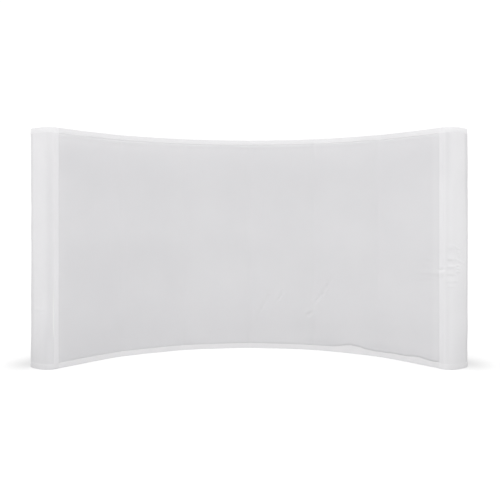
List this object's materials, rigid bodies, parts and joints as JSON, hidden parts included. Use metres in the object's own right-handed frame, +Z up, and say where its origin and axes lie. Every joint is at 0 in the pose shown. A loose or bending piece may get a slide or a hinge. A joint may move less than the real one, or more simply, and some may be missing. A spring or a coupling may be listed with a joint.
{
  "type": "pop up display backwall",
  "caption": "Curved free-standing pop-up display wall: folding scissor-lattice frame under a plain white stretch fabric cover with rounded ends.",
  "frame": {"origin": "middle of the wall's footprint, on the floor", "axes": "+Z up, +X along the wall to the viewer's right, -Y towards the people who look at its hollow side"},
  "size_m": [4.1284, 1.3343, 2.24],
  "materials": {
    "hub_plastic": "moulded glass-filled nylon, dark grey, fine grain",
    "bar_tube": "satin anodised drawn tube",
    "tip_plastic": "moulded nylon, black",
    "steel": "bright zinc-plated steel",
    "arm_plastic": "moulded nylon, charcoal",
    "pad_rubber": "light grey rubber, non-marking",
    "hook_disc": "white moulded hook pile",
    "liner_sheet": "white flexible sheet, satin",
    "cover_fabric": "white stretch knit, fine loops, slight sheen",
    "loop_tape": "white brushed loop tape"
  },
  "bodies": {
    "frame": {"front_hubs_row_1": "hub_plastic", "front_hubs_row_2": "hub_plastic", "front_hubs_row_3": "hub_plastic", "front_hubs_row_4": "hub_plastic", "rear_hubs_row_1": "hub_plastic", "rear_hubs_row_2": "hub_plastic", "rear_hubs_row_3": "hub_plastic", "rear_hubs_row_4": "hub_plastic", "level_bars_row_1_over": "bar_tube", "level_bars_row_1_under": "bar_tube", "level_bars_row_2_over": "bar_tube", "level_bars_row_2_under": "bar_tube", "level_bars_row_3_over": "bar_tube", "level_bars_row_3_under": "bar_tube", "level_bars_row_4_over": "bar_tube", "level_bars_row_4_under": "bar_tube", "upright_bars_low_a": "bar_tube", "upright_bars_low_b": "bar_tube", "upright_bars_mid_a": "bar_tube", "upright_bars_mid_b": "bar_tube", "upright_bars_top_a": "bar_tube", "upright_bars_top_b": "bar_tube", "level_bar_tips": "tip_plastic", "upright_bar_tips": "tip_plastic", "level_rivets": "steel", "upright_rivets": "steel", "level_hub_pins": "steel", "upright_hub_pins": "steel", "lock_hinge_pins": "steel", "lock_catch_pins": "steel", "foot_studs": "tip_plastic", "foot_pins": "steel", "foot_pads": "pad_rubber", "front_hook_discs": "hook_disc", "rear_hook_discs": "hook_disc", "left_end_liner": "liner_sheet", "right_end_liner": "liner_sheet", "front_cover": "cover_fabric", "left_end_cover": "cover_fabric", "right_end_cover": "cover_fabric", "loop_tape_top": "loop_tape", "loop_tape_bottom": "loop_tape", "loop_tape_left_edge": "loop_tape", "loop_tape_right_edge": "loop_tape"},
    "lock_arm_1_low": {"lock_arm_1_low": "arm_plastic"},
    "lock_arm_2_low": {"lock_arm_2_low": "arm_plastic"},
    "lock_arm_3_low": {"lock_arm_3_low": "arm_plastic"},
    "lock_arm_4_low": {"lock_arm_4_low": "arm_plastic"},
    "lock_arm_5_low": {"lock_arm_5_low": "arm_plastic"},
    "lock_arm_6_low": {"lock_arm_6_low": "arm_plastic"},
    "lock_arm_7_low": {"lock_arm_7_low": "arm_plastic"},
    "lock_arm_1_high": {"lock_arm_1_high": "arm_plastic"},
    "lock_arm_2_high": {"lock_arm_2_high": "arm_plastic"},
    "lock_arm_3_high": {"lock_arm_3_high": "arm_plastic"},
    "lock_arm_4_high": {"lock_arm_4_high": "arm_plastic"},
    "lock_arm_5_high": {"lock_arm_5_high": "arm_plastic"},
    "lock_arm_6_high": {"lock_arm_6_high": "arm_plastic"},
    "lock_arm_7_high": {"lock_arm_7_high": "arm_plastic"}
  },
  "joints": [
    {"name": "lock_arm_1_low_swing", "type": "hinge", "parent": "frame", "child": "lock_arm_1_low", "pos_m": [-2.01545, -0.42838, 0.7788], "axis": [-0.3851, -0.593, 0.7071], "range_deg": [0, 90]},
    {"name": "lock_arm_2_low_swing", "type": "hinge", "parent": "frame", "child": "lock_arm_2_low", "pos_m": [-1.47184, 0.15519, 0.7788], "axis": [-0.5572, -0.4353, 0.7071], "range_deg": [0, 90]},
    {"name": "lock_arm_3_low_swing", "type": "hinge", "parent": "frame", "child": "lock_arm_3_low", "pos_m": [-0.76785, 0.52998, 0.7788], "axis": [-0.6686, -0.2302, 0.7071], "range_deg": [0, 90]},
    {"name": "lock_arm_4_low_swing", "type": "hinge", "parent": "frame", "child": "lock_arm_4_low", "pos_m": [-0.0198, 0.65516, 0.7788], "axis": [-0.7071, 0, -0.7071], "range_deg": [0, 90]},
    {"name": "lock_arm_5_low_swing", "type": "hinge", "parent": "frame", "child": "lock_arm_5_low", "pos_m": [0.76785, 0.52998, 0.7788], "axis": [-0.6686, 0.2302, -0.7071], "range_deg": [0, 90]},
    {"name": "lock_arm_6_low_swing", "type": "hinge", "parent": "frame", "child": "lock_arm_6_low", "pos_m": [1.47184, 0.15519, 0.7788], "axis": [-0.5572, 0.4353, -0.7071], "range_deg": [0, 90]},
    {"name": "lock_arm_7_low_swing", "type": "hinge", "parent": "frame", "child": "lock_arm_7_low", "pos_m": [2.01545, -0.42838, 0.7788], "axis": [-0.3851, 0.593, -0.7071], "range_deg": [0, 90]},
    {"name": "lock_arm_1_high_swing", "type": "hinge", "parent": "frame", "child": "lock_arm_1_high", "pos_m": [-2.01545, -0.42838, 1.5068], "axis": [-0.3851, -0.593, 0.7071], "range_deg": [0, 90]},
    {"name": "lock_arm_2_high_swing", "type": "hinge", "parent": "frame", "child": "lock_arm_2_high", "pos_m": [-1.47184, 0.15519, 1.5068], "axis": [-0.5572, -0.4353, 0.7071], "range_deg": [0, 90]},
    {"name": "lock_arm_3_high_swing", "type": "hinge", "parent": "frame", "child": "lock_arm_3_high", "pos_m": [-0.76785, 0.52998, 1.5068], "axis": [-0.6686, -0.2302, 0.7071], "range_deg": [0, 90]},
    {"name": "lock_arm_4_high_swing", "type": "hinge", "parent": "frame", "child": "lock_arm_4_high", "pos_m": [-0.0198, 0.65516, 1.5068], "axis": [-0.7071, 0, -0.7071], "range_deg": [0, 90]},
    {"name": "lock_arm_5_high_swing", "type": "hinge", "parent": "frame", "child": "lock_arm_5_high", "pos_m": [0.76785, 0.52998, 1.5068], "axis": [-0.6686, 0.2302, -0.7071], "range_deg": [0, 90]},
    {"name": "lock_arm_6_high_swing", "type": "hinge", "parent": "frame", "child": "lock_arm_6_high", "pos_m": [1.47184, 0.15519, 1.5068], "axis": [-0.5572, 0.4353, -0.7071], "range_deg": [0, 90]},
    {"name": "lock_arm_7_high_swing", "type": "hinge", "parent": "frame", "child": "lock_arm_7_high", "pos_m": [2.01545, -0.42838, 1.5068], "axis": [-0.3851, 0.593, -0.7071], "range_deg": [0, 90]}
  ]
}
